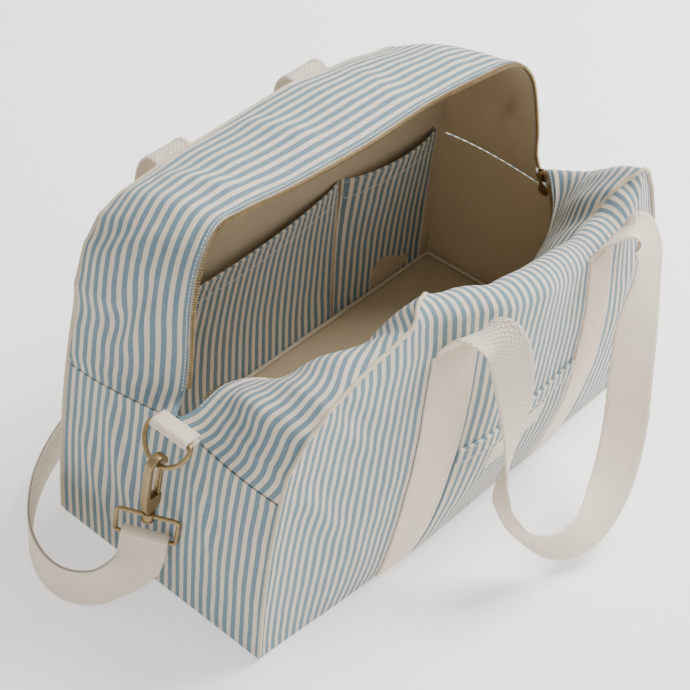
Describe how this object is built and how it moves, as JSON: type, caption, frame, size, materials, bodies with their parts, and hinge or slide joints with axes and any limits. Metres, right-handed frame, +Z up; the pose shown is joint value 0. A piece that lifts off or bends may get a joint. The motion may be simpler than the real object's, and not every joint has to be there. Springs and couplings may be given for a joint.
{
  "type": "weekender bag",
  "caption": "Open striped canvas weekender bag, slumped on its base, with webbing handles, inner pockets, a brass zip and a clip-on shoulder strap.",
  "frame": {"origin": "middle of the base's underside, on the surface that the bag stands on", "axes": "+X along the bag towards the end with the zip slider, +Y towards the tall back half, +Z up"},
  "size_m": [0.6049, 0.4225, 0.3257],
  "materials": {
    "canvas": "blue and cream striped cotton canvas",
    "lining": "undyed cotton canvas",
    "webbing": "cream cotton webbing",
    "label": "blank woven label",
    "brass": "antique brass",
    "board": "hidden stiffener"
  },
  "bodies": {
    "bag": {"front_panel": "canvas", "back_panel": "canvas", "left_end_panel": "canvas", "right_end_panel": "canvas", "front_zip_strip": "canvas", "back_zip_strip": "canvas", "base_panel": "canvas", "front_slip_pocket": "canvas", "back_inner_pocket_left": "canvas", "back_inner_pocket_right": "canvas", "left_inner_pocket": "canvas", "front_lining": "lining", "back_lining": "lining", "left_end_lining": "lining", "right_end_lining": "lining", "front_strip_lining": "lining", "back_strip_lining": "lining", "base_lining": "lining", "front_seam_binding": "lining", "back_seam_binding": "lining", "front_handle_strap_near": "webbing", "front_handle_strap_far": "webbing", "back_handle_strap_near": "webbing", "back_handle_strap_far": "webbing", "shoulder_strap": "webbing", "ring_tab_left": "webbing", "ring_tab_right": "webbing", "zip_tape_front": "webbing", "zip_tape_back": "webbing", "blank_label": "label", "zip_teeth_front": "brass", "zip_teeth_back": "brass", "base_board": "board"},
    "d_ring_left_body": {"d_ring_left": "brass"},
    "hook_left_body": {"snap_hook_left": "brass"},
    "gate_left_body": {"hook_gate_left": "brass"},
    "strap_ring_left_body": {"strap_ring_left": "brass"},
    "d_ring_right_body": {"d_ring_right": "brass"},
    "hook_right_body": {"snap_hook_right": "brass"},
    "gate_right_body": {"hook_gate_right": "brass"},
    "strap_ring_right_body": {"strap_ring_right": "brass"},
    "slider_body": {"zip_slider": "brass"},
    "pull_body": {"zip_pull": "brass"},
    "adjuster_body": {"strap_adjuster": "brass"},
    "front_handle_body": {"front_handle_loop": "webbing"},
    "back_handle_body": {"back_handle_loop": "webbing"}
  },
  "joints": [
    {"name": "d_ring_left_swing", "type": "hinge", "parent": "bag", "child": "d_ring_left_body", "pos_m": [-0.2343, -0.015, 0.182], "axis": [0, 1, 0], "range_deg": [0, 30], "deforming": ["shoulder_strap"]},
    {"name": "hook_left_swing", "type": "hinge", "parent": "d_ring_left_body", "child": "hook_left_body", "pos_m": [-0.249, -0.015, 0.1618], "axis": [0, 1, 0], "range_deg": [0, 20]},
    {"name": "gate_left_open", "type": "hinge", "parent": "hook_left_body", "child": "gate_left_body", "pos_m": [-0.24351, -0.00961, 0.12325], "axis": [0, -0.9903, -0.1386], "range_deg": [0, 12], "stiffness_Nm_per_rad": 0.08},
    {"name": "strap_ring_left_swivel", "type": "hinge", "parent": "hook_left_body", "child": "strap_ring_left_body", "pos_m": [-0.24899, -0.01474, 0.15989], "axis": [0, 0.1386, -0.9903], "range_deg": [0, 60]},
    {"name": "d_ring_right_swing", "type": "hinge", "parent": "bag", "child": "d_ring_right_body", "pos_m": [0.2581, -0.013, 0.146], "axis": [0, -1, 0], "range_deg": [0, 30], "deforming": ["shoulder_strap"]},
    {"name": "hook_right_swing", "type": "hinge", "parent": "d_ring_right_body", "child": "hook_right_body", "pos_m": [0.2728, -0.013, 0.1258], "axis": [0, -1, 0], "range_deg": [0, 20]},
    {"name": "gate_right_open", "type": "hinge", "parent": "hook_right_body", "child": "gate_right_body", "pos_m": [0.26731, -0.00761, 0.08725], "axis": [0, 0.9903, 0.1386], "range_deg": [0, 12], "stiffness_Nm_per_rad": 0.08},
    {"name": "strap_ring_right_swivel", "type": "hinge", "parent": "hook_right_body", "child": "strap_ring_right_body", "pos_m": [0.27279, -0.01274, 0.12389], "axis": [0, -0.1386, 0.9903], "range_deg": [0, 60]},
    {"name": "slider_travel", "type": "slide", "parent": "bag", "child": "slider_body", "axis": [0.389, -0.088, -0.917], "range_m": [0, 0.003]},
    {"name": "pull_flip", "type": "hinge", "parent": "slider_body", "child": "pull_body", "pos_m": [0.23013, -0.00605, 0.16043], "axis": [-0.2761, 0.9385, -0.2074], "range_deg": [0, 90]},
    {"name": "adjuster_travel", "type": "slide", "parent": "bag", "child": "adjuster_body", "axis": [1, 0, 0], "range_m": [-0.02, 0.02]},
    {"name": "front_handle_lift", "type": "hinge", "parent": "bag", "child": "front_handle_body", "pos_m": [-0.0423, -0.1286, 0.2161], "axis": [-0.9991, 0.0245, 0.0339], "range_deg": [0, 15]},
    {"name": "back_handle_lift", "type": "hinge", "parent": "bag", "child": "back_handle_body", "pos_m": [-0.098, 0.1097, 0.2679], "axis": [1, 0.0013, 0.0006], "range_deg": [0, 15]}
  ]
}
